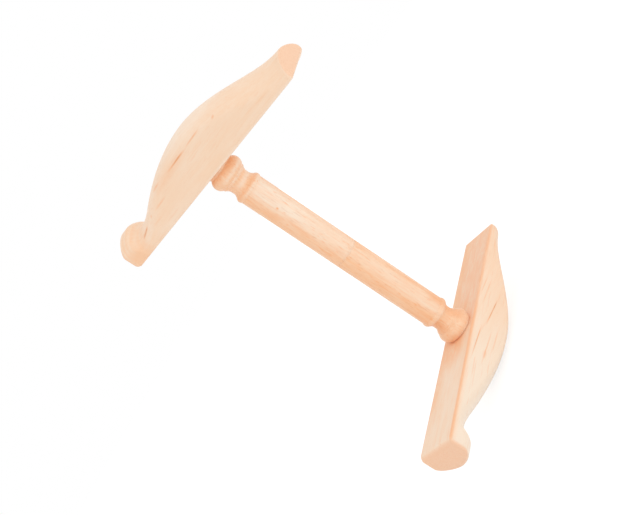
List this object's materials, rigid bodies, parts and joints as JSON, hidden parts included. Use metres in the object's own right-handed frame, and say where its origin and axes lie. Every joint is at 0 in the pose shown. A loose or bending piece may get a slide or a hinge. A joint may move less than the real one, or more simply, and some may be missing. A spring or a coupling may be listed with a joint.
{
  "type": "niddy noddy",
  "caption": "Hand reel for winding yarn into skeins: two shaped wooden cross arms a quarter turn apart at the ends of a turned shaft that twists and pulls apart at a joint.",
  "frame": {"origin": "on the shaft axis at the joint between the two shaft halves", "axes": "+Z along the shaft towards the upper arm; +X along the upper arm towards its plain tip; +Y along the lower arm towards its plain tip"},
  "size_m": [0.275, 0.275, 0.3542],
  "materials": {
    "arm_wood": "sanded bare wood, matt",
    "shaft_wood": "turned and sanded bare wood, matt",
    "dowel_wood": "plain dowel rod, bare wood"
  },
  "bodies": {
    "lower_half": {"lower_arm": "arm_wood", "lower_shaft": "shaft_wood"},
    "dowel": {"centre_dowel": "dowel_wood"},
    "upper_half": {"upper_arm": "arm_wood", "upper_shaft": "shaft_wood"}
  },
  "joints": [
    {"name": "shaft_twist", "type": "hinge", "parent": "lower_half", "child": "dowel", "pos_m": [0, 0, 0], "axis": [0, 0, 1], "continuous": true},
    {"name": "halves_pull_apart", "type": "slide", "parent": "dowel", "child": "upper_half", "axis": [0, 0, 1], "range_m": [0, 0.045]}
  ]
}
